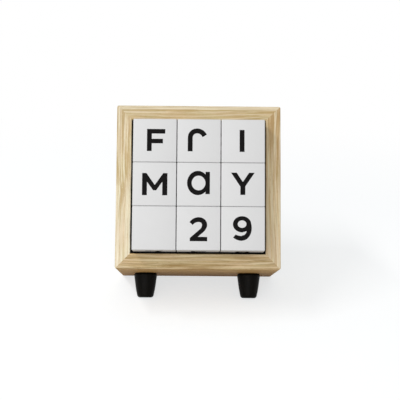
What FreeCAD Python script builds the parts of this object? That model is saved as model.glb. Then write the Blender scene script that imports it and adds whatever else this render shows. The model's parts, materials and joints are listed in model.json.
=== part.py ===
import FreeCAD, Part
import os
from math import atan2, cos, degrees, pi, sin, tan

# A leaning desk calendar: a mitred oak case on two turned legs, a moulded tray with nine
# lift-out blocks in its front, and a drawer that slides out of its right side.
# Lengths are millimetres. The pieces are first drawn in the case's own frame, which is square
# to the case: X to the right, Y from the front edge to the back, Z up from the underside.
# Then the whole case is leaned back until the legs and the rear edge meet the desk at Z = 0.

# Blocks
blockSide = 40.0
blockEdgeBevel = 0.7
rowGap = 0.3
columnGap = 0.45
blockRestGap = 0.3
blockLooseGap = 0.6
blockProud = 17.0
blocksPerRow = 3

# Tray round the blocks
trayWall = 1.4
trayFloor = 2.6
trayFit = 0.2
trayRimSetback = 2.0
trayRimBevel = 0.4
trayInnerCorner = 0.8
trayScrewInset = 14.0

# Boards of the case
boardThickness = 14.0
caseDepth = 122.0
frontBevelRise = 3.0
arrisRadius = 1.0
caseCornerRadius = 2.0
panelFit = 0.1
dividerThickness = 4.0
dividerGrooveDepth = 4.0
backThickness = 5.0
backInset = 2.4
rabbetWidth = 7.0
restLandRun = 3.0

# Drawer in the right side
drawerFrontThickness = 10.0
drawerWall = 6.0
drawerHeight = 48.0
drawerReveal = 0.5
drawerEndGap = 0.5
drawerRunFit = 0.3
drawerFingers = 5
drawerLap = 6.0
drawerBottomThickness = 3.0
drawerBottomLift = 3.0
drawerGroove = 3.0
drawerEdgeBevel = 0.5
fingerHoleRadius = 11.0
fingerHoleBevel = 1.0
openingCorner = 1.0

# What carries the drawer
runnerFoot = 2.0
runnerFootReach = 7.0
runnerLipHeight = 12.0
frontRunnerWidth = 4.4
rearRunnerWidth = 11.3
stopInset = 20.0
stopLength = 8.0
stopWidth = 14.0
shelfThickness = 6.0
shelfLift = 3.0
shelfDado = 4.0

# Legs
legLength = 24.0
legTopRadius = 11.0
legEndRadius = 7.8
legSwell = 0.35
legEndRound = 2.0
legSetback = 66.7
legSpread = 100.0
legBandShares = (0, 0.5, 1)
legRoundShares = (0.5, 1)

# Studs and inserts that hold the legs
studRadius = 3.0
studInLeg = 14.0
studInBoard = 10.5
insertRadius = 4.6
insertLength = 11.5
threadClearance = 0.1

# Screws
backScrewRadius = 1.4
backScrewHead = 2.8
backScrewHeadHeight = 1.8
backScrewLength = 13.0
trayScrewRadius = 1.1
trayScrewHead = 2.2
trayScrewHeadHeight = 1.2
trayScrewLength = 4.0
trayScrewSink = 1.4
screwClearance = 0.1
backScrewInset = 24.0

# Overrun of every cutting tool past the face that it cuts
cutOver = 1.0

# Sizes worked out from those above
columnPitch = blockSide + columnGap
rowPitch = blockSide + rowGap
blockField = blocksPerRow * blockSide + (blocksPerRow - 1) * columnGap
trayInside = blockField + blockRestGap + blockLooseGap
trayOutside = trayInside + 2 * trayWall
caseOpening = trayOutside + 2 * trayFit
caseSide = caseOpening + 2 * boardThickness
caseHalf = caseSide / 2

blockFrontY = -frontBevelRise - blockProud
blockBackY = blockFrontY + blockSide
trayFloorY = blockBackY + blockRestGap
trayRimY = -frontBevelRise + trayRimSetback
dividerFrontY = trayFloorY + trayFloor
dividerBackY = dividerFrontY + dividerThickness
backRearY = caseDepth - backInset
backFrontY = backRearY - backThickness

drawerY0 = dividerBackY + frontRunnerWidth + drawerRunFit
drawerY1 = backFrontY - rearRunnerWidth - drawerRunFit
drawerZ0 = boardThickness + runnerFoot + drawerRunFit
drawerZ1 = drawerZ0 + drawerHeight
drawerX1 = caseHalf
drawerX0 = -caseOpening / 2 + drawerEndGap
drawerBackInnerX = drawerX0 + drawerWall
drawerFrontInnerX = drawerX1 - drawerFrontThickness
shelfZ0 = drawerZ1 + drawerReveal + shelfLift

landStartY = caseDepth - restLandRun
leanAngle = atan2(legLength, landStartY - legSetback)
restHeight = landStartY * sin(leanAngle)


def vec(x, y, z):
    return FreeCAD.Vector(x, y, z)


def boxBetween(x0, x1, y0, y1, z0, z1):
    return Part.makeBox(x1 - x0, y1 - y0, z1 - z0, vec(x0, y0, z0))


def cornerCut(before, corner, after, radius):
    # The two tangent points and the middle of the arc that rounds one corner of an outline.
    toBefore = (before - corner).normalize()
    toAfter = (after - corner).normalize()
    half = toBefore.getAngle(toAfter) / 2
    reach = radius / tan(half)
    start = corner + toBefore * reach
    end = corner + toAfter * reach
    bisector = (toBefore + toAfter).normalize()
    middle = corner + bisector * (radius / sin(half) - radius)
    return start, middle, end


def roundedFace(points, radii):
    # A flat face whose corner number i is rounded by radii[i], or sharp where that is zero.
    count = len(points)
    edges = []
    ends = []
    for i in range(count):
        if radii[i] > 0:
            ends.append(cornerCut(points[i - 1], points[i], points[(i + 1) % count], radii[i]))
        else:
            ends.append((points[i], None, points[i]))
    for i in range(count):
        start, middle, end = ends[i]
        if middle is not None:
            edges.append(Part.Arc(start, middle, end).toShape())
        edges.append(Part.makeLine(end, ends[(i + 1) % count][0]))
    return Part.Face(Part.Wire(edges))


def roundedBar(x0, x1, z0, z1, y0, y1, radius):
    # A bar along Y whose four long edges are rounded.
    points = [vec(x0, y0, z0), vec(x1, y0, z0), vec(x1, y0, z1), vec(x0, y0, z1)]
    return roundedFace(points, [radius] * len(points)).extrude(vec(0, y1 - y0, 0))


def squareBar(size, y0, y1, radius):
    return roundedBar(-size / 2, size / 2, caseHalf - size / 2, caseHalf + size / 2, y0, y1, radius)


def rod(radius, start, end):
    run = end - start
    return Part.makeCylinder(radius, run.Length, start, run)


def panScrew(radius, headRadius, headHeight, length, grow):
    # The seat is at the origin, with the head towards +Y and the shank towards -Y. Grown for
    # its hole, the head runs on so that it comes out of the face that it is sunk in.
    headEnd = headHeight
    if grow > 0:
        headEnd += cutOver
    head = rod(headRadius + grow, vec(0, 0, 0), vec(0, headEnd, 0))
    return head.fuse(rod(radius + grow, vec(0, 0, 0), vec(0, -length - grow, 0)))


def placedScrews(screw, places, seatY):
    made = []
    for x, z in places:
        placed = screw.copy()
        placed.translate(vec(x, seatY, z))
        made.append(placed)
    return made


def backScrews(grow):
    # Through the panel into the ledges of the left and right boards, near its corners.
    ledge = caseHalf - boardThickness + rabbetWidth / 2
    along = caseHalf - backScrewInset
    places = [(sx * ledge, caseHalf + sz * along) for sx in (-1, 1) for sz in (-1, 1)]
    screw = panScrew(backScrewRadius, backScrewHead, backScrewHeadHeight, backScrewLength, grow)
    return placedScrews(screw, places, backRearY)


def trayScrews(grow):
    # One at each side, sunk in the floor of the tray so that the blocks lie clear of them.
    reach = trayInside / 2 - trayScrewInset
    places = [(sx * reach, caseHalf) for sx in (-1, 1)]
    screw = panScrew(trayScrewRadius, trayScrewHead, trayScrewHeadHeight, trayScrewLength, grow)
    screw.rotate(vec(0, 0, 0), vec(0, 0, 1), 180)
    return placedScrews(screw, places, trayFloorY + trayScrewSink)


# The boards are cut from one moulded stock: bevelled front edge, groove for the divider and
# rabbet for the back panel, all run before the ends are mitred.
def boardStock():
    grooveZ = boardThickness - dividerGrooveDepth
    rabbetZ = boardThickness - rabbetWidth
    outline = [
        (0, 0, arrisRadius),
        (caseDepth, 0, arrisRadius),
        (caseDepth, rabbetZ, 0),
        (backFrontY, rabbetZ, 0),
        (backFrontY, boardThickness, 0),
        (dividerBackY + panelFit, boardThickness, 0),
        (dividerBackY + panelFit, grooveZ, 0),
        (dividerFrontY - panelFit, grooveZ, 0),
        (dividerFrontY - panelFit, boardThickness, 0),
        (-frontBevelRise, boardThickness, arrisRadius),
    ]
    points = [vec(-caseHalf - cutOver, y, z) for y, z, r in outline]
    radii = [r for y, z, r in outline]
    return roundedFace(points, radii).extrude(vec(caseSide + 2 * cutOver, 0, 0))


def mitreWedge():
    low = -cutOver
    high = boardThickness + cutOver
    front = -frontBevelRise - cutOver
    back = caseDepth + cutOver
    corners = [
        vec(-caseHalf - cutOver, front, low),
        vec(caseHalf + cutOver, front, low),
        vec(caseHalf - high, front, high),
        vec(-caseHalf + high, front, high),
    ]
    face = Part.Face(Part.makePolygon(corners + [corners[0]]))
    return face.extrude(vec(0, back - front, 0))


def makeBoards():
    envelope = squareBar(caseSide, -frontBevelRise - cutOver, caseDepth + cutOver, caseCornerRadius)
    board = boardStock().common(mitreWedge()).common(envelope)
    screwHoles = Part.makeCompound(backScrews(screwClearance))
    turns = {"bottom_board": 0, "left_board": 90, "top_board": 180, "right_board": 270}
    boards = {}
    for name, turn in turns.items():
        turned = board.copy()
        turned.rotate(vec(0, 0, caseHalf), vec(0, 1, 0), turn)
        boards[name] = turned.cut(screwHoles)
    boards["bottom_board"] = boards["bottom_board"].cut(Part.makeCompound(insertHoles()))
    dado = boxBetween(-caseOpening / 2 - shelfDado - panelFit, caseOpening / 2 + shelfDado + panelFit,
                      dividerBackY - cutOver, backFrontY + cutOver,
                      shelfZ0 - panelFit, shelfZ0 + shelfThickness + panelFit)
    boards["left_board"] = boards["left_board"].cut(dado)
    boards["right_board"] = boards["right_board"].cut(dado).cut(drawerMouth())
    return boards


def drawerMouth():
    # The opening of the right board, a little larger than the drawer front all round.
    y0 = drawerY0 - drawerReveal
    y1 = drawerY1 + drawerReveal
    z0 = drawerZ0 - drawerReveal
    z1 = drawerZ1 + drawerReveal
    start = caseHalf - boardThickness - cutOver
    points = [vec(start, y0, z0), vec(start, y1, z0), vec(start, y1, z1), vec(start, y0, z1)]
    face = roundedFace(points, [openingCorner] * len(points))
    return face.extrude(vec(boardThickness + 2 * cutOver, 0, 0))


def panelInCase(y0, y1, reach, fit):
    half = caseOpening / 2 + reach - fit
    return boxBetween(-half, half, y0, y1, caseHalf - half, caseHalf + half)


def makeDivider():
    panel = panelInCase(dividerFrontY, dividerBackY, dividerGrooveDepth, panelFit)
    return panel.cut(Part.makeCompound(trayScrews(screwClearance)))


def makeBackPanel():
    panel = panelInCase(backFrontY, backRearY, rabbetWidth, panelFit)
    return panel.cut(Part.makeCompound(backScrews(screwClearance)))


def makeShelf():
    half = caseOpening / 2 + shelfDado - panelFit
    return boxBetween(-half, half, dividerBackY + panelFit, backFrontY - panelFit,
                      shelfZ0, shelfZ0 + shelfThickness)


# One moulded tray: four thin walls with a rounded rim and a floor that is screwed down.
def makeTray():
    floorBack = dividerFrontY
    shell = squareBar(trayOutside, trayRimY, floorBack, trayInnerCorner + trayWall)
    pocket = squareBar(trayInside, trayRimY - cutOver, trayFloorY, trayInnerCorner)
    tray = shell.cut(pocket)
    rim = [e for e in tray.Edges if e.BoundBox.YMax < trayRimY + trayRimBevel / 2]
    tray = tray.makeChamfer(trayRimBevel, rim)
    return tray.cut(Part.makeCompound(trayScrews(screwClearance)))


def makeBlock(column, row):
    # Column 0 is at the left, row 0 at the top. The blocks lie on the tray's lower wall and
    # against its right wall, with the spare room left over at the top and the left.
    x1 = trayInside / 2 - blockRestGap - (blocksPerRow - 1 - column) * columnPitch
    z0 = caseHalf - trayInside / 2 + blockRestGap + (blocksPerRow - 1 - row) * rowPitch
    block = boxBetween(x1 - blockSide, x1, blockFrontY, blockBackY, z0, z0 + blockSide)
    return block.makeChamfer(blockEdgeBevel, block.Edges)


# The drawer is finger-jointed at its back and half-blind at its front.
def fingerStack(x0, x1, y0, y1, parity):
    step = drawerHeight / drawerFingers
    made = []
    for i in range(drawerFingers):
        if i % 2 == parity:
            z0 = drawerZ0 + i * step
            made.append(boxBetween(x0, x1, y0, y1, z0, z0 + step))
    return made


def drawerCorners(parity):
    made = []
    for y0 in (drawerY0, drawerY1 - drawerWall):
        y1 = y0 + drawerWall
        made += fingerStack(drawerX0, drawerBackInnerX, y0, y1, parity)
        made += fingerStack(drawerFrontInnerX, drawerFrontInnerX + drawerLap, y0, y1, parity)
    return Part.makeCompound(made)


def makeDrawer():
    bottom = boxBetween(drawerBackInnerX - drawerGroove, drawerFrontInnerX + drawerGroove,
                        drawerY0 + drawerWall - drawerGroove, drawerY1 - drawerWall + drawerGroove,
                        drawerZ0 + drawerBottomLift, drawerZ0 + drawerBottomLift + drawerBottomThickness)
    sideFingers = drawerCorners(0)
    endFingers = drawerCorners(1)
    lapX = drawerFrontInnerX + drawerLap
    near = boxBetween(drawerX0, lapX, drawerY0, drawerY0 + drawerWall, drawerZ0, drawerZ1)
    far = boxBetween(drawerX0, lapX, drawerY1 - drawerWall, drawerY1, drawerZ0, drawerZ1)
    back = boxBetween(drawerX0, drawerBackInnerX, drawerY0, drawerY1, drawerZ0, drawerZ1)
    return {
        "drawer_front": makeDrawerFront().cut(sideFingers).cut(bottom),
        "drawer_back": back.cut(sideFingers).cut(bottom),
        "drawer_near_side": near.cut(endFingers).cut(bottom),
        "drawer_far_side": far.cut(endFingers).cut(bottom),
        "drawer_bottom": bottom,
    }


def makeDrawerFront():
    front = boxBetween(drawerFrontInnerX, drawerX1, drawerY0, drawerY1, drawerZ0, drawerZ1)
    middle = vec(drawerFrontInnerX - cutOver, (drawerY0 + drawerY1) / 2, (drawerZ0 + drawerZ1) / 2)
    hole = rod(fingerHoleRadius, middle, middle + vec(drawerFrontThickness + 2 * cutOver, 0, 0))
    front = front.cut(hole)
    outer = [e for e in front.Edges if e.BoundBox.XMin > drawerX1 - drawerEdgeBevel]
    front = front.makeChamfer(drawerEdgeBevel, [e for e in outer if isinstance(e.Curve, Part.Line)])
    rims = [e for e in front.Edges if isinstance(e.Curve, Part.Circle)]
    return front.makeChamfer(fingerHoleBevel, rims)


def makeRunner(wallY, lipY, towards):
    # An L strip: a thick lip between the wall and the drawer, and a thin foot under the drawer.
    footY = lipY + towards * runnerFootReach
    x0 = -caseOpening / 2
    x1 = caseOpening / 2
    z0 = boardThickness
    footZ = z0 + runnerFoot
    lipZ = z0 + runnerLipHeight
    outline = [
        vec(x0, wallY, z0),
        vec(x0, footY, z0),
        vec(x0, footY, footZ),
        vec(x0, lipY, footZ),
        vec(x0, lipY, lipZ),
        vec(x0, wallY, lipZ),
    ]
    return Part.Face(Part.makePolygon(outline + [outline[0]])).extrude(vec(x1 - x0, 0, 0))


def makeStop():
    # Stands under the drawer's bottom and catches the foot of the drawer's back.
    x0 = caseOpening / 2 - stopInset - stopLength
    middle = (drawerY0 + drawerY1) / 2
    top = drawerZ0 + drawerBottomLift - drawerRunFit
    return boxBetween(x0, x0 + stopLength, middle - stopWidth / 2, middle + stopWidth / 2,
                      boardThickness, top)


def legPlaces():
    return {"left_leg": -legSpread / 2, "right_leg": legSpread / 2}


def legOutline():
    # The swelling side as shares of the height from the top to where the end rounds in.
    low = -legLength + legEndRound
    side = []
    for share in legBandShares:
        straight = legTopRadius + (legEndRadius - legTopRadius) * share
        swell = 4 * legSwell * share * (1 - share)
        side.append(vec(straight + swell, 0, low * share))
    end = []
    for share in legRoundShares:
        turn = share * pi / 2
        end.append(vec(legEndRadius - legEndRound + legEndRound * cos(turn), 0, low - legEndRound * sin(turn)))
    return [vec(0, 0, 0)] + side + end + [vec(0, 0, -legLength)]


def makeLeg(x):
    # Turned on its own axis, in bands that follow the swelling side.
    outline = legOutline()
    leg = Part.Face(Part.makePolygon(outline + [outline[0]])).revolve(vec(0, 0, 0), vec(0, 0, 1), 360)
    socket = rod(studRadius + threadClearance, vec(0, 0, -studInLeg - threadClearance), vec(0, 0, cutOver))
    leg = leg.cut(socket)
    leg.translate(vec(x, legSetback, 0))
    return leg


def insertHoles():
    depth = insertLength + threadClearance
    return [rod(insertRadius + threadClearance, vec(x, legSetback, -cutOver), vec(x, legSetback, depth))
            for x in legPlaces().values()]


def makeInserts():
    made = []
    for x in legPlaces().values():
        sleeve = rod(insertRadius, vec(x, legSetback, 0), vec(x, legSetback, insertLength))
        bore = rod(studRadius + threadClearance, vec(x, legSetback, -cutOver),
                   vec(x, legSetback, insertLength + cutOver))
        made.append(sleeve.cut(bore))
    return made


def makeStuds():
    return [rod(studRadius, vec(x, legSetback, -studInLeg), vec(x, legSetback, studInBoard))
            for x in legPlaces().values()]


def leaned(shape):
    # Turns a piece from the case's own frame into the leaning case's place over the desk.
    moved = shape.copy()
    moved.rotate(vec(0, 0, 0), vec(1, 0, 0), -degrees(leanAngle))
    moved.translate(vec(0, 0, restHeight))
    return moved


def trimmedToDesk(shape):
    # Takes off the slivers of the rear edge and of the legs' heels that would reach below Z = 0.
    reach = caseSide + caseDepth
    slab = boxBetween(-reach, reach, -reach, reach, -reach, 0)
    return shape.cut(slab)


def makeAll():
    pieces = makeBoards()
    pieces["divider_panel"] = makeDivider()
    pieces["back_panel"] = makeBackPanel()
    pieces["back_screws"] = Part.makeCompound(backScrews(0))
    pieces["block_tray"] = makeTray()
    pieces["tray_screws"] = Part.makeCompound(trayScrews(0))
    pieces["drawer_shelf"] = makeShelf()
    pieces["front_runner"] = makeRunner(dividerBackY, dividerBackY + frontRunnerWidth, 1)
    pieces["rear_runner"] = makeRunner(backFrontY, drawerY1 + drawerRunFit, -1)
    pieces["drawer_stop"] = makeStop()
    for name, x in legPlaces().items():
        pieces[name] = makeLeg(x)
    pieces["leg_inserts"] = Part.makeCompound(makeInserts())
    pieces["leg_studs"] = Part.makeCompound(makeStuds())
    pieces.update(makeDrawer())
    names = [
        ["weekday_block_1", "weekday_block_2", "weekday_block_3"],
        ["month_block_1", "month_block_2", "month_block_3"],
        ["plain_block", "date_tens_block", "date_units_block"],
    ]
    for row, rowNames in enumerate(names):
        for column, name in enumerate(rowNames):
            pieces[name] = makeBlock(column, row)
    return pieces


touchesDesk = ("bottom_board", "left_board", "right_board", "left_leg", "right_leg")
standing = {name: leaned(shape) for name, shape in makeAll().items()}
for name in touchesDesk:
    standing[name] = trimmedToDesk(standing[name])

# The origin is on the desk under the middle of the whole object.
whole = Part.makeCompound(list(standing.values())).optimalBoundingBox(False, False)
middleY = (whole.YMin + whole.YMax) / 2

os.makedirs("parts", exist_ok=True)
for name, shape in standing.items():
    shape.translate(vec(0, -middleY, 0))
    shape.exportStep("parts/" + name + ".step")
    print(name, "solids", len(shape.Solids), "valid", shape.isValid(), "volume", round(shape.Volume, 1))

print("case side", round(caseSide, 3), "lean", round(degrees(leanAngle), 2), "desk to case", round(restHeight, 3))
print("box", [round(v, 3) for v in (whole.XMin, whole.XMax, whole.YMin - middleY, whole.YMax - middleY,
                                    whole.ZMin, whole.ZMax)])
print("middleY", round(middleY, 4), "travel", round(caseOpening / 2 - stopInset - stopLength - drawerBackInnerX, 3))
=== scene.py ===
# Desk calendar with a drawer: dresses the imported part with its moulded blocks, printed characters,
# turned legs, screws and finishes. Everything is in metres, in the part's own frame.
import json
from math import cos, radians, sin
import bpy
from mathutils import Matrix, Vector

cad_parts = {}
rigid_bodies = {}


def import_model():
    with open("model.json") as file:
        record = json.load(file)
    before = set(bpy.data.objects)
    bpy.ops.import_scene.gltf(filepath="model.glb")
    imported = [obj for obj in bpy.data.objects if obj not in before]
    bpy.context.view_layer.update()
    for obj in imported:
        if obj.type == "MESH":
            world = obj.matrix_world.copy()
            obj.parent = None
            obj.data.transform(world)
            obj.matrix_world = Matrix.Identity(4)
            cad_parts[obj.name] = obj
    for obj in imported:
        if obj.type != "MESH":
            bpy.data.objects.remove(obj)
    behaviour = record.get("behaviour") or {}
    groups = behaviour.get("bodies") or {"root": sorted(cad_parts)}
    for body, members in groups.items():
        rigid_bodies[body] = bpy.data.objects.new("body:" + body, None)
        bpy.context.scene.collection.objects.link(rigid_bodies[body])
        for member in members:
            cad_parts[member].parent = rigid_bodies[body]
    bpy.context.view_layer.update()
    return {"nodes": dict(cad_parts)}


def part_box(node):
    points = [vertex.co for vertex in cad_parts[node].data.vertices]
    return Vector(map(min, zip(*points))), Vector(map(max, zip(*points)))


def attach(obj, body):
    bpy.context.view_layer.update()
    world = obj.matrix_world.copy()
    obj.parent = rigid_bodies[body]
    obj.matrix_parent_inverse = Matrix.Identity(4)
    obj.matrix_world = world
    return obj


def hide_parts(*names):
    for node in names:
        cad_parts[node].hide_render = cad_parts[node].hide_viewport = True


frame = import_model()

mm = 0.001

# How the case stands: it leans back by this angle about the X axis, and its own origin (front, bottom
# edge, middle) lies here. The case's own frame is X across, Y into its depth, Z up its height.
caseStand = {
    "lean": 24.65,           # degrees
    "y": -81.5574,           # mm
    "z": 49.632,
}
caseOrigin = (0, caseStand["y"] * mm, caseStand["z"] * mm)
caseTurn = (-radians(caseStand["lean"]), 0, 0)


def clearSelection():
    for item in bpy.context.view_layer.objects:
        item.select_set(False)


def takeUp(item):
    clearSelection()
    item.select_set(True)
    bpy.context.view_layer.objects.active = item


def openMesh(item):
    takeUp(item)
    bpy.ops.object.mode_set(mode="EDIT")
    bpy.ops.mesh.select_all(action="SELECT")


def closeMesh():
    # Leaves edit mode with every face pointing outwards.
    bpy.ops.mesh.select_all(action="SELECT")
    bpy.ops.mesh.normals_make_consistent(inside=False)
    bpy.ops.object.mode_set(mode="OBJECT")


def drawOut(distance):
    # Extrudes what is selected along Z, by millimetres.
    bpy.ops.mesh.extrude_region_move(TRANSFORM_OT_translate={"value": (0, 0, distance * mm)})


def applyModifier(item, kind, settings):
    takeUp(item)
    modifier = item.modifiers.new(kind.title(), kind)
    for key, value in settings.items():
        setattr(modifier, key, value)
    bpy.ops.object.modifier_apply(modifier=modifier.name)


def settle(item, location, turn=(0, 0, 0)):
    # Puts a finished piece in its place and leaves its object at the origin.
    item.location = location
    item.rotation_euler = turn
    takeUp(item)
    bpy.ops.object.transform_apply(location=True, rotation=True, scale=True)


def copyOf(item, name):
    twin = item.copy()
    twin.data = item.data.copy()
    twin.name = name
    bpy.context.scene.collection.objects.link(twin)
    return twin


def smoothBy(item, angle):
    takeUp(item)
    bpy.ops.object.shade_smooth_by_angle(angle=radians(angle))


def joinAll(items, name):
    clearSelection()
    for item in items:
        item.select_set(True)
    bpy.context.view_layer.objects.active = items[0]
    bpy.ops.object.join()
    joined = bpy.context.view_layer.objects.active
    joined.name = name
    return joined


def finishPiece(item, body, nodes, material):
    item.data.materials.clear()
    item.data.materials.append(material)
    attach(item, body)
    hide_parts(*nodes)


def inRadians(turn):
    return tuple(radians(angle) for angle in turn)


def hexColour(code):
    # sRGB hex to linear
    shares = [int(code[i:i + 2], 16) / 255 for i in (1, 3, 5)]
    linear = [s / 12.92 if s <= 0.04045 else ((s + 0.055) / 1.055) ** 2.4 for s in shares]
    return (linear[0], linear[1], linear[2], 1.0)


def addNode(tree, kind, settings):
    # A setting is an option, a socket's value, the socket that feeds it, or the stops of a ramp.
    node = tree.nodes.new(kind)
    for key, value in settings.items():
        if key == "stops":
            band = node.color_ramp
            while len(band.elements) < len(value):
                band.elements.new(0.5)
            for element, (position, tone) in zip(band.elements, value):
                element.position = position
                element.color = hexColour(tone) if isinstance(tone, str) else (tone, tone, tone, 1)
        elif isinstance(value, bpy.types.NodeSocket):
            tree.links.new(value, node.inputs[key])
        elif isinstance(key, int) or key in node.inputs:
            node.inputs[key].default_value = value
        else:
            setattr(node, key, value)
    return node


def newMaterial(name, settings):
    material = bpy.data.materials.new(name)
    material.use_nodes = True
    tree = material.node_tree
    shader = tree.nodes["Principled BSDF"]
    for key, value in settings.items():
        shader.inputs[key].default_value = value
    return material, tree, shader


def casePlace(tree, shift=(0, 0, 0), turn=(0, 0, 0)):
    # Object coordinates as millimetres in the case's own frame, then turned and moved for the grain.
    seat = addNode(tree, "ShaderNodeTexCoord", {})
    inCase = addNode(tree, "ShaderNodeMapping", {
        "vector_type": "TEXTURE",
        "Location": caseOrigin,
        "Rotation": caseTurn,
        "Scale": (mm, mm, mm),
        "Vector": seat.outputs["Object"],
    })
    turned = addNode(tree, "ShaderNodeMapping", {
        "Rotation": inRadians(turn),
        "Location": shift,
        "Vector": inCase.outputs["Vector"],
    })
    return turned.outputs["Vector"]


patterns = {
    "cloudRough": 0.55,      # how ragged the clouds are
    "wavePeriod": 0.31416,   # a wave texture of scale 1 repeats after this
    "waveDetail": 2.0,
}


def cloudsOf(tree, place, size, detail=3.0):
    # Cloudy pattern whose clouds are "size" millimetres along, across and through the grain.
    sized = addNode(tree, "ShaderNodeMapping", {"Scale": tuple(1 / s for s in size), "Vector": place})
    return addNode(tree, "ShaderNodeTexNoise", {
        "Scale": 1.0,
        "Detail": detail,
        "Roughness": patterns["cloudRough"],
        "Vector": sized.outputs["Vector"],
    }).outputs


def cloudTones(tree, place, size, stops, detail):
    # The same pattern turned into tones, or into shares from 0 to 1.
    clouds = cloudsOf(tree, place, size, detail)
    return addNode(tree, "ShaderNodeValToRGB", {"Fac": clouds["Fac"], "stops": stops}).outputs["Color"]


def layered(tree, colour, layers):
    # Lays one colour after another over the first, each by its own share, which may be a pattern.
    for blend, share, above in layers:
        mixed = addNode(tree, "ShaderNodeMix", {
            "data_type": "RGBA", "blend_type": blend, 0: share, 6: colour, 7: above,
        })
        colour = mixed.outputs[2]
    return colour


def feedShader(tree, shader, look, colour, sheen, relief):
    # The roughness runs with the sheen's pattern, and the relief is "depth" millimetres deep.
    rough = addNode(tree, "ShaderNodeMapRange", {
        "To Min": look["rough"][0], "To Max": look["rough"][1], "Value": sheen,
    })
    bump = addNode(tree, "ShaderNodeBump", {
        "Distance": look["depth"] * mm, "Strength": look["strength"], "Height": relief,
    })
    tree.links.new(colour, shader.inputs["Base Color"])
    tree.links.new(rough.outputs["Result"], shader.inputs["Roughness"])
    tree.links.new(bump.outputs["Normal"], shader.inputs["Normal"])


# Oak, planed and oiled: pale straw, soft darker rings and fine open pores along each board. Sizes of its
# patterns are in mm, along a board and across it both ways.
oakLook = {
    "shader": {"IOR": 1.5, "Specular IOR Level": 0.12},
    "drift": (130, 45, 45),  # clouds in which the rings stray
    "stray": 11.0,           # mm that they stray
    "ringGap": 3.6,          # mm from one year's ring to the next
    "ringRun": 0.12,         # below 1, the rings' unevenness is drawn out along the board
    "ringUneven": 0.8,
    "ringTones": ((0.0, "dark"), (0.14, "mid"), (0.5, "pale"), (0.88, "pale"), (1.0, "mid")),
    "broad": (140, 5, 5),    # broad bands where the wood's tone changes
    "broadTones": ((0.38, "mid"), (0.6, "pale")),
    "broadShare": 0.5,
    "streak": (42, 1.4, 1.4),
    "streakShares": ((0.42, 0.8), (0.58, 0.0)),
    "zone": (110, 14, 14),   # calmer and busier parts of a board
    "zoneShares": ((0.36, 0.35), (0.6, 1.0)),
    "blush": (30, 6, 6),     # a little pinker here and cooler there, as the heartwood is
    "blushTones": ((0.38, "#FDF3E6"), (0.62, "#F9F7E7")),
    "blushShare": 0.7,
    "fibre": (14, 0.7, 0.7),
    "fibreTones": ((0.3, 0.80), (0.7, 1.0)),
    "fibreShare": 0.6,
    "pore": (3.6, 0.3, 0.3),
    "poreShares": ((0.58, 0.0), (0.68, 1.0)),
    "poreSeason": ((0.0, 1.0), (0.45, 0.3), (1.0, 0.2)),   # thickest in the early part of a ring
    "fleck": (0.5, 2.6, 0.5),
    "fleckShares": ((0.66, 0.0), (0.76, 0.5)),
    "rough": (0.55, 0.7),
    "depth": 0.12,
    "strength": 0.5,
    "deepening": (10.0, 143.0),   # mm up the case, from where to where an upright deepens
    # The next span sets where the painted shade on the underside begins and ends.
    "shadeSpan": (15.0, 110.0),      # mm into the case, from where to where the underside deepens
    "skin": 0.2,                  # mm above the underside that count as underside
}

# The tones and the grain's place on each board. "upper" and "under" are multiplied in, and "line" is the
# height in the case of one dark line beside the outer edge.
oakBoards = {
    "left_board": {"pale": "#FFFAEB", "mid": "#F0E2C4", "dark": "#C9AE7E", "turn": (0, 90, 0),
                   "shift": (549, -34, 64), "upper": "#F0EEE8"},
    "right_board": {"pale": "#FFF8E3", "mid": "#F8E2BC", "dark": "#C6A26C", "turn": (0, 90, 0),
                    "shift": (-456, 49, -129), "upper": "#F0ECE4"},
    "top_board": {"pale": "#ECE0C6", "mid": "#DAC59B", "dark": "#B4985F", "turn": (0, 0, 0),
                  "shift": (-146, 37, 176), "line": 148.7},
    # The bottom board's two underside colours are painted shade, the second towards the back.
    "bottom_board": {"pale": "#F2E1C1", "mid": "#D7BE91", "dark": "#9E7F49", "turn": (0, 0, 0),
                     "shift": (449, 43, -182), "under": "#FFEBC6", "underBack": "#D2AE7C"},
}
# The drawer's front is sawn out of the right board, so its grain runs on.
oakBoards["drawer_front"] = oakBoards["right_board"]

edgeLine = {
    "sway": 1.6,             # mm that it strays with the broad bands
    "middle": 0.8,           # mm from the board's "line" to the middle of the growth line
    "halfWidth": 0.45,
    "tone": 0.55,
    "paleShare": 0.45,       # paler wood beyond it
}


def darkenUpwards(tree, wood, board):
    # An upright is darker towards its upper end.
    level = addNode(tree, "ShaderNodeSeparateXYZ", {"Vector": casePlace(tree)})
    upward = addNode(tree, "ShaderNodeMapRange", {
        "From Min": oakLook["deepening"][0], "From Max": oakLook["deepening"][1], "Value": level.outputs["Z"],
    })
    return layered(tree, wood, [("MULTIPLY", upward.outputs["Result"], hexColour(board["upper"]))])


def drawEdgeLine(tree, wood, board, bands):
    line = edgeLine
    level = addNode(tree, "ShaderNodeSeparateXYZ", {"Vector": casePlace(tree)})
    sway = addNode(tree, "ShaderNodeMath", {
        "operation": "MULTIPLY_ADD", 0: bands, 1: line["sway"], 2: level.outputs["Z"],
    })
    beyond = addNode(tree, "ShaderNodeMapRange", {
        "From Min": board["line"] + line["middle"],
        "From Max": board["line"] + 2 * line["middle"],
        "To Max": line["paleShare"],
        "Value": sway.outputs[0],
    })
    near = addNode(tree, "ShaderNodeMath", {
        "operation": "COMPARE", 0: sway.outputs[0], 1: board["line"] + line["middle"], 2: line["halfWidth"],
    })
    paler = layered(tree, wood, [("MIX", beyond.outputs["Result"], hexColour(board["pale"]))])
    lined = layered(tree, paler, [("MIX", line["tone"], hexColour(board["dark"]))])
    return layered(tree, paler, [("MIX", near.outputs[0], lined)])


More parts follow.
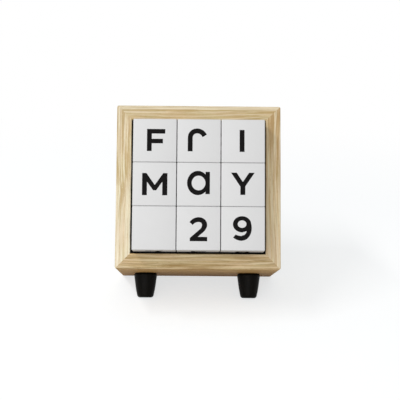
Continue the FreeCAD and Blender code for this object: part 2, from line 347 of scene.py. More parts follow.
def paintUndersideShade(tree, wood, board):
    # Painted shade: the face towards the desk is made deeper in tone, most of all towards the back.
    level = addNode(tree, "ShaderNodeSeparateXYZ", {"Vector": casePlace(tree)})
    below = addNode(tree, "ShaderNodeMath", {
        "operation": "LESS_THAN", 0: level.outputs["Z"], 1: oakLook["skin"],
    })
    backward = addNode(tree, "ShaderNodeMapRange", {
        "From Min": oakLook["shadeSpan"][0], "From Max": oakLook["shadeSpan"][1], "Value": level.outputs["Y"],
    })
    shadeTone = layered(tree, hexColour(board["under"]),
                  [("MIX", backward.outputs["Result"], hexColour(board["underBack"]))])
    oiled = layered(tree, wood, [("MULTIPLY", 1.0, shadeTone)])
    return layered(tree, wood, [("MIX", below.outputs[0], oiled)])


def oakMaterial(name, board):
    look = oakLook
    material, tree, shader = newMaterial("oak planed and oiled, " + name.replace("_", " "), look["shader"])
    place = casePlace(tree, board["shift"], board["turn"])
    # The rings wander slowly along the board.
    drift = cloudsOf(tree, place, look["drift"], detail=1.0)
    centred = addNode(tree, "ShaderNodeVectorMath", {
        "operation": "SUBTRACT", 0: drift["Color"], 1: (0.5, 0.5, 0.5),
    })
    strayed = addNode(tree, "ShaderNodeVectorMath", {
        "operation": "MULTIPLY_ADD",
        0: centred.outputs["Vector"],
        1: (0, look["stray"], look["stray"]),
        2: place,
    })
    grown = strayed.outputs["Vector"]
    drawnOut = addNode(tree, "ShaderNodeMapping", {"Scale": (look["ringRun"], 1, 1), "Vector": grown})
    rings = addNode(tree, "ShaderNodeTexWave", {
        "wave_type": "RINGS",
        "rings_direction": "X",
        "wave_profile": "SAW",
        "Scale": patterns["wavePeriod"] / look["ringGap"],
        "Distortion": look["ringUneven"],
        "Detail": patterns["waveDetail"],
        "Detail Scale": 1.0,
        "Vector": drawnOut.outputs["Vector"],
    }).outputs["Fac"]
    growth = addNode(tree, "ShaderNodeValToRGB", {
        "Fac": rings, "stops": [(at, board[tone]) for at, tone in look["ringTones"]],
    })
    # Broad bands and finer streaks lie over the rings, busier in some parts than in others.
    bands = cloudsOf(tree, grown, look["broad"])["Fac"]
    broad = addNode(tree, "ShaderNodeValToRGB", {
        "Fac": bands, "stops": [(at, board[tone]) for at, tone in look["broadTones"]],
    })
    streaks = cloudTones(tree, grown, look["streak"], look["streakShares"], detail=3.0)
    zones = cloudTones(tree, place, look["zone"], look["zoneShares"], detail=1.0)
    streakShare = layered(tree, streaks, [("MULTIPLY", 1.0, zones)])
    blush = cloudTones(tree, place, look["blush"], look["blushTones"], detail=2.0)
    fibres = cloudsOf(tree, place, look["fibre"])["Fac"]
    fibreTone = addNode(tree, "ShaderNodeValToRGB", {"Fac": fibres, "stops": look["fibreTones"]})
    # Open pores, short and dark, and pale ray flecks across the grain.
    pores = cloudTones(tree, place, look["pore"], look["poreShares"], detail=2.0)
    season = addNode(tree, "ShaderNodeValToRGB", {"Fac": rings, "stops": look["poreSeason"]})
    poreShare = layered(tree, pores, [("MULTIPLY", 1.0, season.outputs["Color"])])
    flecks = cloudTones(tree, place, look["fleck"], look["fleckShares"], detail=1.0)
    wood = layered(tree, growth.outputs["Color"], [
        ("MIX", look["broadShare"], broad.outputs["Color"]),
        ("MIX", streakShare, hexColour(board["dark"])),
        ("MULTIPLY", look["blushShare"], blush),
        ("MULTIPLY", look["fibreShare"], fibreTone.outputs["Color"]),
        ("MIX", poreShare, hexColour(board["dark"])),
        ("MIX", flecks, hexColour(board["pale"])),
    ])
    if "upper" in board:
        wood = darkenUpwards(tree, wood, board)
    if "line" in board:
        wood = drawEdgeLine(tree, wood, board, bands)
    # Painted shade on the bottom board's underside.
    if "under" in board:
        wood = paintUndersideShade(tree, wood, board)
    relief = layered(tree, fibres, [("SUBTRACT", 1.0, poreShare)])
    feedShader(tree, shader, look, wood, fibres, relief)
    return material


# Birch plywood, rotary cut and sanded: creamy faces with wide soft figure, striped edges
plyLook = {
    "shader": {"IOR": 1.48, "Specular IOR Level": 0.3},
    "faceTones": ((0.35, "#DCC79D"), (0.65, "#E8D9B8")),
    "waveTones": ((0.0, "#DCC79D"), (0.75, "#E8D9B8")),
    "figure": (60, 60, 16),
    "figureShare": 0.45,
    "waveGap": 15,           # mm from wave to wave of the peeled figure
    "waveUneven": 9.0,
    "waveSpread": 0.45,
    "edge": "#B79367",
    "veneer": 1.3,           # mm, thickness of one ply
    "overlap": 0.02,         # mm added to each, so that the outer plies reach past the faces
    "fibre": (9, 0.5, 0.5),
    "fibreTones": ((0.3, 0.86), (0.7, 1.0)),
    "fibreShare": 0.5,
    "rough": (0.5, 0.66),
    "depth": 0.06,
    "strength": 0.4,
}

# Which way each sheet's thickness runs in the case, from where, and how thick it is, in mm.
plySheets = {
    "divider_panel": {"thickness": "Y", "start": 22.9, "sheet": 4.0},
    "back_panel": {"thickness": "Y", "start": 114.6, "sheet": 5.0},
    "drawer_shelf": {"thickness": "Z", "start": 67.8, "sheet": 6.0},
    "drawer_bottom": {"thickness": "Z", "start": 19.3, "sheet": 3.0},
}


def plyMaterial(name, sheet):
    look = plyLook
    material, tree, shader = newMaterial("birch plywood sanded, " + name.replace("_", " "), look["shader"])
    turn = (0, 0, 0) if sheet["thickness"] == "Y" else (90, 0, 0)
    place = casePlace(tree, (0, 0, 0), turn)
    figure = cloudsOf(tree, place, look["figure"])["Fac"]
    cloudy = addNode(tree, "ShaderNodeValToRGB", {"Fac": figure, "stops": look["faceTones"]})
    waves = addNode(tree, "ShaderNodeTexWave", {
        "wave_type": "BANDS",
        "bands_direction": "Z",
        "Scale": patterns["wavePeriod"] / look["waveGap"],
        "Distortion": look["waveUneven"],
        "Detail": patterns["waveDetail"],
        "Detail Scale": look["waveSpread"],
        "Vector": place,
    })
    soft = addNode(tree, "ShaderNodeValToRGB", {"Fac": waves.outputs["Fac"], "stops": look["waveTones"]})
    # The plies show as stripes through the thickness, counted from the sheet's first face.
    plies = 2 * round(sheet["sheet"] / look["veneer"] / 2 - 0.5) + 1
    veneer = sheet["sheet"] / plies + look["overlap"]
    through = addNode(tree, "ShaderNodeSeparateXYZ", {"Vector": casePlace(tree)})
    counted = addNode(tree, "ShaderNodeMath", {
        "operation": "SUBTRACT",
        0: through.outputs[sheet["thickness"]],
        1: sheet["start"] - look["overlap"] / 2,
    })
    pair = addNode(tree, "ShaderNodeMath", {"operation": "MODULO", 0: counted.outputs[0], 1: 2 * veneer})
    inner = addNode(tree, "ShaderNodeMath", {"operation": "GREATER_THAN", 0: pair.outputs[0], 1: veneer})
    fibres = cloudsOf(tree, place, look["fibre"], detail=2.0)["Fac"]
    fibreTone = addNode(tree, "ShaderNodeValToRGB", {"Fac": fibres, "stops": look["fibreTones"]})
    birch = layered(tree, soft.outputs["Color"], [
        ("MIX", look["figureShare"], cloudy.outputs["Color"]),
        ("MIX", inner.outputs[0], hexColour(look["edge"])),
        ("MULTIPLY", look["fibreShare"], fibreTone.outputs["Color"]),
    ])
    feedShader(tree, shader, look, birch, figure, fibres)
    return material


# "cloud" and "relief" are sizes in mm across, into and up the case, and "depth" is the relief's in mm.
finishes = {
    # ABS, moulded in a satin tool: milk white, even, with a very fine grain
    "ABS white, satin moulded": {
        "shader": {"IOR": 1.54, "Specular IOR Level": 0.3}, "tones": ((0.35, "#DCDCDC"), (0.65, "#DDDDDD")),
        "cloud": (9, 9, 9), "rough": (0.40, 0.42), "relief": (0.35, 0.35, 0.35), "depth": 0.012,
        "strength": 0.6,
    },
    # ABS, moulded in a sparked tool: dead black with a dry, finely pitted skin
    "ABS black, spark textured": {
        "shader": {"IOR": 1.54, "Specular IOR Level": 0.04}, "tones": ((0.35, "#0F0C0A"), (0.65, "#0A0807")),
        "cloud": (6, 6, 6), "rough": (0.5, 0.62), "relief": (0.3, 0.3, 0.3), "depth": 0.03,
        "strength": 0.6,
    },
    # Beech under black lacquer, sprayed: near black, low sheen, a trace of turned grain below
    "beech black lacquered, sprayed": {
        "shader": {"IOR": 1.5, "Specular IOR Level": 0.06}, "tones": ((0.35, "#0E0C09"), (0.65, "#080705")),
        "cloud": (2, 2, 14), "rough": (0.38, 0.5), "relief": (0.6, 0.6, 9), "depth": 0.03,
        "strength": 0.6,
    },
    # Pad-printing ink: flat warm black, a little uneven where the pad lifted
    "pad-printing ink black": {
        "shader": {"IOR": 1.48, "Specular IOR Level": 0.03}, "tones": ((0.35, "#181717"), (0.65, "#141313")),
        "cloud": (2.5, 2.5, 2.5), "rough": (0.45, 0.6), "relief": (0.25, 0.25, 0.25), "depth": 0.006,
        "strength": 0.6,
    },
    # Steel, zinc plated and clear passivated: cool grey with faint cloudy blooms
    "steel zinc plated": {
        "shader": {"Metallic": 1.0}, "tones": ((0.35, "#AEB4BA"), (0.65, "#C9CDD1")),
        "cloud": (1.4, 1.4, 1.4), "rough": (0.26, 0.42), "relief": (0.2, 0.2, 0.2), "depth": 0.01,
        "strength": 0.4,
    },
    # Brass, turned and left bare: warm yellow with the lathe's fine rings
    "brass turned": {
        "shader": {"Metallic": 1.0}, "tones": ((0.35, "#C79F4F"), (0.65, "#DDB968")),
        "cloud": (3, 3, 0.25), "rough": (0.24, 0.36), "relief": (0.2, 0.2, 0.2), "depth": 0.01,
        "strength": 0.4,
    },
}

# Beech, steamed and planed: pinkish tan, even, with short brown ray dashes
beechLook = {
    "shader": {"IOR": 1.5, "Specular IOR Level": 0.35}, "tones": ((0.32, "#D2AE83"), (0.66, "#E2C39C")),
    "cloud": (80, 7, 7), "rough": (0.45, 0.6), "relief": (10, 0.4, 0.4), "depth": 0.05, "strength": 0.4,
    "shift": (17, 5, 9),
    "dash": "#B08458", "dashSize": (2.6, 0.3, 0.3), "dashShares": ((0.64, 0.0), (0.72, 0.7)),
}


def evenMaterial(name, look, turn=(0, 0, 0)):
    # Two close tones in soft clouds, a sheen that follows them, and a fine relief.
    material, tree, shader = newMaterial(name, look["shader"])
    place = casePlace(tree, look.get("shift", (0, 0, 0)), turn)
    clouds = cloudsOf(tree, place, look["cloud"])["Fac"]
    colour = addNode(tree, "ShaderNodeValToRGB", {"Fac": clouds, "stops": look["tones"]}).outputs["Color"]
    if "dash" in look:
        dashes = cloudTones(tree, place, look["dashSize"], look["dashShares"], detail=1.0)
        colour = layered(tree, colour, [("MIX", dashes, hexColour(look["dash"]))])
    relief = cloudsOf(tree, place, look["relief"], detail=2.0)["Fac"]
    feedShader(tree, shader, look, colour, clouds, relief)
    return material


coats = {name: evenMaterial(name, look) for name, look in finishes.items()}
whiteAbs = coats["ABS white, satin moulded"]
blackAbs = coats["ABS black, spark textured"]
blackLacquer = coats["beech black lacquered, sprayed"]
padInk = coats["pad-printing ink black"]
zincSteel = coats["steel zinc plated"]
brass = coats["brass turned"]
beechAcross = evenMaterial("beech steamed and planed, grain across", beechLook)
beechInward = evenMaterial("beech steamed and planed, grain inward", beechLook, (0, 0, 90))

nodeFinishes = {
    "drawer_near_side": beechAcross, "drawer_far_side": beechAcross, "front_runner": beechAcross,
    "rear_runner": beechAcross, "drawer_stop": beechInward, "drawer_back": beechInward,
    "block_tray": blackAbs, "leg_studs": zincSteel, "leg_inserts": brass, "left_leg": blackLacquer,
    "right_leg": blackLacquer, "back_screws": zincSteel, "tray_screws": zincSteel,
}
nodeFinishes.update({name: oakMaterial(name, board) for name, board in oakBoards.items()})
nodeFinishes.update({name: plyMaterial(name, sheet) for name, sheet in plySheets.items()})
for nodeName, material in nodeFinishes.items():
    for holder in frame["nodes"][nodeName].material_slots:
        holder.material = material
print("finishes: oak, birch plywood, beech, plastics and metals assigned")


blockShape = {
    "side": 40.0,
    "seam": 0.2,             # mm by which a moulded block is narrower than its place in the row
    "edge": 0.7,             # mm, radius of the moulded edges
    "segments": 4,
    "smooth": 35,            # degrees between faces up to which they shade as one
    "standOff": {            # mm that each block lies deeper or prouder than its neighbours
        "weekday_block_1": 0.0, "weekday_block_2": -0.08, "weekday_block_3": 0.05,
        "month_block_1": 0.06, "month_block_2": 0.0, "month_block_3": -0.06,
        "plain_block": 0.04, "date_tens_block": -0.05, "date_units_block": 0.07,
    },
}
outward = Vector((0, -cos(radians(caseStand["lean"])), sin(radians(caseStand["lean"]))))

clearSelection()
bpy.ops.mesh.primitive_cube_add(size=blockShape["side"] * mm, location=(0, 0, 0))
blockPattern = bpy.context.object
openMesh(blockPattern)
narrowing = 1 - blockShape["seam"] / blockShape["side"]
bpy.ops.transform.resize(value=(narrowing, 1, 1), center_override=(0, 0, 0))
closeMesh()
applyModifier(blockPattern, "BEVEL", {
    "width": blockShape["edge"] * mm,
    "segments": blockShape["segments"],
    "limit_method": "ANGLE",
    "harden_normals": False,
})
smoothBy(blockPattern, blockShape["smooth"])


def blockCentre(name):
    low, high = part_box(name)
    return (low + high) / 2 + outward * blockShape["standOff"][name] * mm


for name in blockShape["standOff"]:
    moulded = copyOf(blockPattern, name + "_moulded")
    settle(moulded, blockCentre(name), caseTurn)
    finishPiece(moulded, name, [name], whiteAbs)
bpy.data.objects.remove(blockPattern)
print("blocks: nine moulded cubes in the tray")


def arc(x, y, rx, ry, start, end, steps=20):
    turns = [radians(start + (end - start) * i / steps) for i in range(steps + 1)]
    return [(x + rx * cos(t), y + ry * sin(t)) for t in turns]


def bar(left, low, right, high):
    return [(left, low), (right, low), (right, high), (left, high)]


def bow(x, y, outer, inner, start, end, innerStart=None, innerShift=(0, 0), steps=28):
    # A curved stroke between an outer and an inner ellipse; a full turn makes a ring.
    begin = start if innerStart is None else innerStart
    return {"outer": arc(x, y, outer[0], outer[1], start, end, steps),
            "inner": arc(x + innerShift[0], y + innerShift[1], inner[0], inner[1], begin, end, steps),
            "ring": abs(end - start) == 360}


# The strokes of each character, in mm from the middle of its block's face.
glyphs = {
    "F": [[(-7.25, -10), (-2.85, -10), (-2.85, -2.8), (7.4, -2.8), (7.4, 1.4), (-2.85, 1.4), (-2.85, 6.25),
           (9.45, 6.25), (9.45, 10.5), (-7.25, 10.5)]],
    "E": [[(-7.4, -10), (8.4, -10), (8.4, -6.5), (-3.1, -6.5), (-3.1, -1.6), (6.9, -1.6), (6.9, 1.9),
           (-3.1, 1.9), (-3.1, 6.7), (8.2, 6.7), (8.2, 10.2), (-7.4, 10.2)]],
    "L": [[(-6.8, -10), (7.6, -10), (7.6, -6.4), (-2.5, -6.4), (-2.5, 10.2), (-6.8, 10.2)]],
    "T": [[(-2.1, -10), (2.1, -10), (2.1, 6.6), (8.8, 6.6), (8.8, 10.2), (-8.8, 10.2), (-8.8, 6.6),
           (-2.1, 6.6)]],
    "I": [bar(-3.31, -10.1, 1.19, 10.3)],
    "N": [[(-9.2, -10), (-5, -10), (-5, 3.4), (5.2, -10), (9.2, -10), (9.2, 10.2), (5, 10.2), (5, -3),
           (-5.1, 10.2), (-9.2, 10.2)]],
    "M": [[(-11.2, -10.4), (-6.75, -10.4), (-6.75, 1.95), (-1.1, -5.9), (1.65, -5.9), (7.2, 2.0),
           (7.2, -10.4), (11.85, -10.4), (11.85, 10.0), (8.0, 10.0), (0.34, -0.9), (-7.3, 10.0),
           (-11.2, 10.0)]],
    "W": [[(-12.6, 10.2), (-7.9, -10), (-3.8, -10), (0, 3.9), (3.8, -10), (7.9, -10), (12.6, 10.2),
           (8.3, 10.2), (5.6, -3.6), (2.1, 10.2), (-2.1, 10.2), (-5.6, -3.6), (-8.3, 10.2)]],
    "Y": [[(-2.52, -9.4), (2.0, -9.4), (2.0, -1.6), (10.5, 11.0), (5.45, 11.0), (-0.27, 2.5), (-5.9, 11.0),
           (-11.1, 11.0), (-2.52, -1.8)]],
    "A": [[(-10.4, -10), (-6.0, -10), (2.05, 10.2), (-2.05, 10.2)],
          [(6.0, -10), (10.4, -10), (2.05, 10.2), (-2.05, 10.2)], bar(-6.4, -5.4, 6.4, -2.0)],
    "D": [bar(-8.6, -10, -4.4, 10.2), bar(-5, 6.7, -1.2, 10.2), bar(-5, -10, -1.2, -6.5),
          bow(-1.25, 0.1, (10.4, 10.1), (6.1, 6.6), -90, 90)],
    "B": [bar(-8.2, -10, -4.0, 10.2), bar(-5, 6.8, 1.6, 10.2), bar(-5, -1.4, 1.8, 2.0),
          bar(-5, -10, 1.8, -6.6), bow(1.55, 4.4, (6.0, 5.8), (1.9, 2.4), -90, 90),
          bow(1.75, -4.0, (6.9, 6.0), (2.7, 2.6), -90, 90)],
    "R": [bar(-8.0, -10, -3.8, 10.2), bar(-5, 6.8, 1.6, 10.2), bar(-5, -2.6, 1.6, 0.9),
          bow(1.55, 3.8, (6.4, 6.4), (2.2, 2.9), -90, 90),
          [(-0.6, -1.4), (4.0, -10), (8.9, -10), (3.9, -1.4)]],
    "G": [bow(0.2, 0.1, (10.3, 10.3), (6.1, 6.7), 42, 330), bar(1.2, -1.9, 10.2, 1.5),
          bar(6.0, -6.4, 10.2, 0)],
    "J": [bar(1.8, -3.7, 6.0, 10.2), bow(-0.9, -3.6, (6.9, 6.6), (2.7, 2.9), 208, 360)],
    "O": [bow(0, 0.1, (10.9, 10.4), (6.6, 6.7), 0, 360)],
    "U": [bar(-8.6, -1.9, -4.4, 10.2), bar(4.4, -1.9, 8.6, 10.2),
          bow(0, -1.8, (8.6, 8.4), (4.4, 4.8), 180, 360)],
    "S": [bow(0, 4.4, (7.4, 5.9), (3.3, 2.4), 30, 270),
          bow(0.1, -4.2, (7.9, 6.0), (3.8, 2.5), 212, 450)],
    "o": [bow(0, 0.8, (10.2, 10.6), (6.0, 6.7), 0, 360)],
    "u": [bar(-9.3, -1.3, -5.1, 10.8), bar(5.2, -9.9, 9.4, 10.8),
          bow(0.05, -1.2, (9.35, 8.9), (5.15, 4.9), 180, 360)],
    "e": [bow(0, 0.4, (10.4, 10.6), (6.2, 6.8), 0, 322), bar(-8.0, -1.4, 10.35, 1.9)],
    "h": [bar(-8.8, -10, -4.6, 12.0), bar(4.6, -10, 8.8, -1.5), bow(0, -1.6, (8.8, 8.4), (4.6, 4.9), 0, 180)],
    "a": [bow(-0.82, 1.18, (9.88, 11.2), (6.29, 6.74), 0, 360, innerShift=(0.62, -0.02)),
          bar(6.1, -9.0, 10.12, 11.5)],
    "r": [bar(-10.35, -9.95, -5.87, 3.0), bow(-1.9, 2.9, (8.45, 8.45), (3.97, 3.85), 90, 180),
          bow(-1.9, 1.42, (9.93, 9.93), (5.35, 5.35), 25.8, 91, innerStart=19.6)],
    "p": [bar(-8.8, -12.4, -4.6, 10.0), bow(0.4, 1.8, (9.2, 8.6), (5.0, 4.9), 0, 360)],
    "c": [bow(0.3, 0.5, (10.0, 10.6), (5.8, 6.8), 42, 318)],
    "0": [bow(0, -0.2, (8.4, 10.8), (4.2, 7.1), 0, 360)],
    "1": [[(-0.6, -11), (3.6, -11), (3.6, 10.2), (-0.2, 10.2), (-5.6, 6.5), (-3.7, 3.9), (-0.6, 6.0)]],
    "2": [arc(0.3, 0.05, 10.12, 10.12, 146.5, 90, 12) + arc(0.3, 3.12, 7.58, 7.05, 84, -22, 16)
          + [(6.35, -1.15), (5.1, -2.85), (-0.55, -7.75), (8.0, -7.75), (8.0, -11.75), (-7.75, -11.75),
             (-7.8, -8.87), (1.55, -0.61), (2.4, 0.4), (2.98, 1.6)]
          + arc(0.3, 3.12, 2.9, 2.65, 0, 90, 8) + arc(0.3, -1.35, 7.12, 7.12, 96, 141.5, 8)],
    "3": [bow(-0.2, 4.7, (7.3, 5.7), (3.2, 2.3), -90, 150),
          bow(-0.2, -4.8, (8.0, 6.2), (3.9, 2.7), -150, 90)],
    "4": [bar(2.6, -11, 6.6, 10.2), bar(-9.6, -7, 9.6, -3.5),
          [(-9.6, -5.2), (-4.9, -5.2), (6.5, 8.6), (6.5, 10.2), (2.9, 10.2)]],
    "5": [bar(-6.2, 6.7, 7.2, 10.2), bar(-6.6, -0.9, -2.6, 10.2),
          bow(-0.3, -4.2, (8.2, 6.8), (4.1, 3.3), -150, 128)],
    "7": [[(-8, 6.8), (3.0, 6.8), (-5.4, -11), (-0.8, -11), (8, 7.4), (8, 10.2), (-8, 10.2)]],
    "8": [bow(0, 4.9, (7.2, 5.5), (3.2, 2.2), 0, 360), bow(0, -4.8, (8.3, 6.2), (4.1, 2.8), 0, 360)],
    "9": [{"outer": (arc(-0.875, 3.98, 8.36, 7.42, 0, 270, 21)
                     + arc(-0.875, 3.98, 8.36, 7.08, 270, 360, 7)[1:]),
           "inner": arc(-0.875, 4.12, 3.96, 3.42, 0, 360, 28), "ring": True},
          bow(-0.9, 0.5, (8.8, 11.4), (4.1, 4.1), 18, -90, innerShift=(0, -2.6)),
          {"outer": arc(-1.1, 1.05, 12.15, 12.1, 271, 229.4, 10),
           "inner": arc(-0.9, 7.3, 14.0, 14.0, 271, 245.2, 10), "ring": False}],
}

# Which characters stand on a block: front, top, left, right, back, underside. A 6 is a turned 9.
blockFaces = {
    "weekday_block_1": "FMTW S", "weekday_block_2": "ruoeha", "weekday_block_3": "INEDTU",
    "month_block_1": "MJASOF", "month_block_2": "aepuco", "month_block_3": "YNBRLG",
    "plain_block": " 34567", "date_tens_block": "201345", "date_units_block": "901278",
}
faceTurns = ((90, 0, 0), (0, 0, 0), (90, 0, -90), (90, 0, 90), (90, 0, 180), (180, 0, 0))

inkFilm = {
    "thickness": 0.05,       # mm
    "sunk": 0.02,            # mm of it that lie in the plastic
}


def flatPart(part):
    # One stroke as a thin slab: an outline is one face, a bow is a strip of them.
    if isinstance(part, dict):
        outer, inner = part["outer"], part["inner"]
        if part["ring"]:
            outer, inner = outer[:-1], inner[:-1]
        count = len(outer)
        outline = outer + inner
        last = count if part["ring"] else count - 1
        faces = [(i, (i + 1) % count, count + (i + 1) % count, count + i) for i in range(last)]
    else:
        outline = part
        faces = [tuple(range(len(outline)))]
    mesh = bpy.data.meshes.new("stroke")
    mesh.from_pydata([(x * mm, y * mm, 0) for x, y in outline], [], faces)
    slab = bpy.data.objects.new("stroke", mesh)
    bpy.context.scene.collection.objects.link(slab)
    openMesh(slab)
    drawOut(inkFilm["thickness"])
    closeMesh()
    return slab


def drawCharacter(sign):
    parts = [flatPart(part) for part in glyphs["9" if sign == "6" else sign]]
    whole = parts[0]
    for part in parts[1:]:
        applyModifier(whole, "BOOLEAN", {"operation": "UNION", "solver": "EXACT", "object": part})
        bpy.data.objects.remove(part)
    if sign == "6":
        settle(whole, (0, 0, 0), inRadians((0, 0, 180)))
    return whole


def printBlock(name):
    signs = []
    for sign, turn in zip(blockFaces[name], faceTurns):
        if sign == " ":
            continue
        # The left and right faces are the ones that the seam draws in.
        span = blockShape["side"] - (blockShape["seam"] if abs(turn[2]) == 90 else 0)
        drawn = drawCharacter(sign)
        settle(drawn, (0, 0, (span / 2 - inkFilm["sunk"]) * mm))
        settle(drawn, (0, 0, 0), inRadians(turn))
        signs.append(drawn)
    printed = joinAll(signs, name + "_print")
    settle(printed, blockCentre(name), caseTurn)
    printed.data.materials.clear()
    printed.data.materials.append(padInk)
    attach(printed, name)


for name in blockFaces:
    printBlock(name)
print("characters: printed on the faces of the nine blocks")


legTurning = {
    "setback": 66.7,         # mm behind the case's front
    "places": {"left_leg": -50.4, "right_leg": 50.4},
    # mm below the case, and the radius there
    "profile": ((0, 11.3), (2.5, 11.15), (6, 10.65), (10, 10.15), (13.7, 9.63), (17, 9.05),
                (19.6, 8.55), (21.8, 8.05), (24, 7.6)),
    "heelRound": 2.6,        # mm, radius of the rounding at the heel
    "heelSegments": 5,
    "heelAngle": 60,         # degrees; only the heel's edge is sharper than this
    "facets": 72,
    "smooth": 40,
    "planing": 0.000001,     # metres, how exactly the desk's plane cuts the heel
}


def turnLeg(name, x):
    look = legTurning
    clearSelection()
    bpy.ops.mesh.primitive_circle_add(vertices=look["facets"], radius=look["profile"][0][1] * mm,
                                      fill_type="NGON", location=(0, 0, 0))
    leg = bpy.context.object
    leg.name = name + "_turned"
    openMesh(leg)
    for (before, wide), (after, narrow) in zip(look["profile"], look["profile"][1:]):
        drawOut(before - after)
        share = narrow / wide
        bpy.ops.transform.resize(value=(share, share, 1), center_override=(0, 0, -after * mm))
    closeMesh()
    applyModifier(leg, "BEVEL", {
        "width": look["heelRound"] * mm,
        "segments": look["heelSegments"],
        "limit_method": "ANGLE",
        "angle_limit": radians(look["heelAngle"]),
    })
    settle(leg, (x * mm, look["setback"] * mm, 0))
    settle(leg, caseOrigin, caseTurn)
    # The heel is planed to the desk.
    openMesh(leg)
    bpy.ops.mesh.bisect(plane_co=(0, 0, 0), plane_no=(0, 0, -1), use_fill=True, clear_outer=True,
                        threshold=look["planing"])
    closeMesh()
    smoothBy(leg, look["smooth"])
    finishPiece(leg, "case", [name], blackLacquer)


for legName, legX in legTurning["places"].items():
    turnLeg(legName, legX)
print("legs: turned and planed at the heel")


# Sizes and places of the screws are in mm, in the case's own frame, and "turn" points them into the wood.
screwShapes = {
    "back_screws": {"head": 2.8, "height": 1.8, "shank": 1.4, "length": 13.0, "seat": 119.6, "turn": -90,
                    "places": ((-66, 24), (-66, 129), (66, 24), (66, 129))},
    "tray_screws": {"head": 2.2, "height": 1.2, "shank": 1.1, "length": 4.0, "seat": 21.7, "turn": 90,
                    "places": ((-46.9, 76.5), (46.9, 76.5))},
}

panHead = {
    "facets": 40,
    "smooth": 40,
    "point": 1.5,            # mm, length of the pointed end
    "pointShare": 0.25,      # share of the shank's width that is left there
    "rim": 0.45,             # share of the height by which the crown's rim lies lower
    "dome": ((0.16, 0.24), (0.22, 0.14), (0.26, 0.07)),   # shares of the head inwards, of the height upwards
    "slot": (1.15, 0.24, 1.3),   # shares of the head's radius along and across, and of its height
    "flat": 0.9,             # a face points straight up or down from here
    "turns": (17, 31),       # degrees: how the first screw stands, and how much each next one is turned on
}


def selectFaces(item, side):
    # Selects the faces at the lower end for -1, at the upper end for 1, and opens the mesh.
    takeUp(item)
    bpy.ops.object.mode_set(mode="EDIT")
    bpy.ops.mesh.select_mode(type="FACE")
    bpy.ops.mesh.select_all(action="DESELECT")
    bpy.ops.object.mode_set(mode="OBJECT")
    for face in item.data.polygons:
        face.select = face.normal.z * side > panHead["flat"]
    bpy.ops.object.mode_set(mode="EDIT")


def drawScrew(shape, spin):
    # Stands on its seat with the head up.
    head, height = shape["head"], shape["height"]
    clearSelection()
    bpy.ops.mesh.primitive_cylinder_add(vertices=panHead["facets"], radius=head * mm, depth=height * mm,
                                        location=(0, 0, height * mm / 2))
    screw = bpy.context.object
    selectFaces(screw, -1)
    # The shank is drawn out of the head's underside and pointed.
    bpy.ops.mesh.inset(thickness=(head - shape["shank"]) * mm)
    drawOut(panHead["point"] - shape["length"])
    drawOut(-panHead["point"])
    bpy.ops.transform.resize(value=(panHead["pointShare"], panHead["pointShare"], 1),
                             center_override=(0, 0, -shape["length"] * mm))
    bpy.ops.object.mode_set(mode="OBJECT")
    selectFaces(screw, 1)
    # The crown of the head is domed by insets, the first from a lowered rim.
    bpy.ops.transform.translate(value=(0, 0, -panHead["rim"] * height * mm))
    for inwards, upwards in panHead["dome"]:
        bpy.ops.mesh.inset(thickness=inwards * head * mm)
        bpy.ops.transform.translate(value=(0, 0, upwards * height * mm))
    bpy.ops.object.mode_set(mode="OBJECT")
    along, across, deep = panHead["slot"]
    for turn in (spin, spin + 90):
        clearSelection()
        bpy.ops.mesh.primitive_cube_add(size=1, location=(0, 0, height * mm))
        cutter = bpy.context.object
        cutter.scale = (head * along * mm, head * across * mm, height * deep * mm)
        cutter.rotation_euler = inRadians((0, 0, turn))
        applyModifier(screw, "BOOLEAN", {"operation": "DIFFERENCE", "solver": "EXACT", "object": cutter})
        bpy.data.objects.remove(cutter)
    smoothBy(screw, panHead["smooth"])
    return screw


def driveScrews(name, shape):
    firstTurn, nextTurn = panHead["turns"]
    driven = []
    for count, (x, z) in enumerate(shape["places"]):
        screw = drawScrew(shape, firstTurn + nextTurn * count)
        settle(screw, (0, 0, 0), inRadians((shape["turn"], 0, 0)))
        settle(screw, (x * mm, shape["seat"] * mm, z * mm))
        driven.append(screw)
    screws = joinAll(driven, name + "_pan_head")
    settle(screws, caseOrigin, caseTurn)
    finishPiece(screws, "case", [name], zincSteel)


for screwName, screwShape in screwShapes.items():
    driveScrews(screwName, screwShape)
print("screws: four in the back panel, two in the tray")


def seenDirectly(tree):
    # Is 1 for what the camera sees, also in a reflection or through something clear.
    rays = addNode(tree, "ShaderNodeLightPath", {})
    seen = rays.outputs["Is Camera Ray"]
    for way in ("Is Glossy Ray", "Is Transmission Ray"):
        seen = addNode(tree, "ShaderNodeMath", {
            "operation": "MAXIMUM", 0: seen, 1: rays.outputs[way],
        }).outputs[0]
    return seen


# Paper sweep, matt: plain white that only shows the object's soft shadow
floorLook = {
    "size": 9.0,
    "under": 0.00005,        # metres below the object
    "colour": "#C9C9C9",
    "seenShade": (0.45, 0.447, 0.443, 1.0),   # share of the real light that the camera sees on the floor
    "seenGlow": (0.66, 0.675, 0.685, 1.0),    # rest of the white that the camera sees, a little cool
    "fadeFrom": 0.32,        # metres away where the paper begins to turn into plain white
    "fadeTo": 0.75,
}
plainWhite = (1, 1, 1, 1)

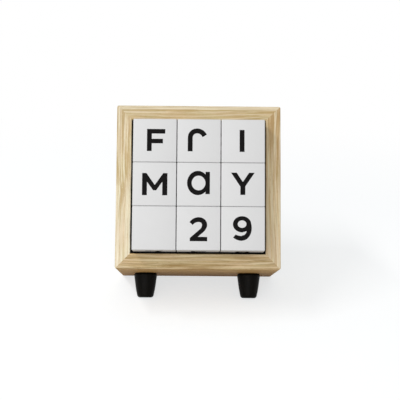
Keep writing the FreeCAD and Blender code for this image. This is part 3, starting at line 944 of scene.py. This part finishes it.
clearSelection()
bpy.ops.mesh.primitive_plane_add(size=floorLook["size"], location=(0, 0, -floorLook["under"]))
floor = bpy.context.object
floor.name = "floor"
floorPaper = bpy.data.materials.new("paper sweep, matt")
floorPaper.use_nodes = True
tree = floorPaper.node_tree
tree.nodes.clear()
plain = addNode(tree, "ShaderNodeBsdfDiffuse", {"Color": hexColour(floorLook["colour"])})
shaded = addNode(tree, "ShaderNodeBsdfDiffuse", {"Color": floorLook["seenShade"]})
glow = addNode(tree, "ShaderNodeEmission", {"Color": floorLook["seenGlow"], "Strength": 1.0})
both = addNode(tree, "ShaderNodeAddShader", {0: shaded.outputs[0], 1: glow.outputs[0]})
spot = addNode(tree, "ShaderNodeTexCoord", {})
away = addNode(tree, "ShaderNodeVectorMath", {"operation": "LENGTH", 0: spot.outputs["Object"]})
fade = addNode(tree, "ShaderNodeMapRange", {
    "interpolation_type": "SMOOTHSTEP",
    "From Min": floorLook["fadeFrom"],
    "From Max": floorLook["fadeTo"],
    "Value": away.outputs["Value"],
})
farPaper = addNode(tree, "ShaderNodeEmission", {"Color": plainWhite, "Strength": 1.0})
faded = addNode(tree, "ShaderNodeMixShader", {
    0: fade.outputs["Result"], 1: both.outputs[0], 2: farPaper.outputs[0],
})
chosen = addNode(tree, "ShaderNodeMixShader", {
    0: seenDirectly(tree), 1: plain.outputs[0], 2: faded.outputs[0],
})
addNode(tree, "ShaderNodeOutputMaterial", {"Surface": chosen.outputs[0]})
floor.data.materials.append(floorPaper)

studio = {
    "fill": 0.36,            # even light from all round
    "front": 1.15,           # broad softbox before the object, a little to the left
    "frontPlace": (-0.3, -1.3, 1.0),
    "frontWay": (0.3, 1.3, -0.55),
    "frontSoftness": 50.0,   # degrees across as the object sees it
    "side": 42.0,            # weak strip softbox hung level to the left, that draws the shadow on the desk
    "sideHeight": 2.4,
    "sideAway": 0.64,        # this and the next three are shares of its height: how far to the left
    "sideWidth": 0.06,
    "sideNear": 0.08,        # how far its two ends are in front of the object
    "sideFar": 1.0,
}

world = bpy.data.worlds.new("studio")
bpy.context.scene.world = world
world.use_nodes = True
tree = world.node_tree
tree.nodes.clear()
dim = addNode(tree, "ShaderNodeBackground", {"Color": plainWhite, "Strength": studio["fill"]})
white = addNode(tree, "ShaderNodeBackground", {"Color": plainWhite, "Strength": 1.0})
chosen = addNode(tree, "ShaderNodeMixShader", {0: seenDirectly(tree), 1: dim.outputs[0], 2: white.outputs[0]})
addNode(tree, "ShaderNodeOutputWorld", {"Surface": chosen.outputs[0]})

clearSelection()
bpy.ops.object.light_add(type="SUN", location=studio["frontPlace"])
front = bpy.context.object
front.name = "front softbox"
front.data.energy = studio["front"]
front.data.angle = radians(studio["frontSoftness"])
front.rotation_euler = Vector(studio["frontWay"]).to_track_quat("-Z", "Y").to_euler()

hung = studio["sideHeight"]
middle = (studio["sideNear"] + studio["sideFar"]) / 2
clearSelection()
bpy.ops.object.light_add(type="AREA", location=(-studio["sideAway"] * hung, -middle * hung, hung))
side = bpy.context.object
side.name = "strip softbox"
side.data.shape = "RECTANGLE"
side.data.size = studio["sideWidth"] * hung
side.data.size_y = (studio["sideFar"] - studio["sideNear"]) * hung
side.data.energy = studio["side"]

view = {
    "place": (-0.00956, -1.03283, 0.41946),
    "turn": (72.336, -0.650, -0.446),
    "lens": 99.58,
    "sensor": 36.0,
    "nearest": 0.01,
    "farthest": 50,
}
clearSelection()
bpy.ops.object.camera_add(location=view["place"], rotation=inRadians(view["turn"]))
camera = bpy.context.object
camera.data.lens = view["lens"]
camera.data.sensor_width = view["sensor"]
camera.data.clip_start = view["nearest"]
camera.data.clip_end = view["farthest"]
bpy.context.scene.camera = camera
bpy.context.scene.view_settings.view_transform = "Standard"
print("floor, light and camera set")
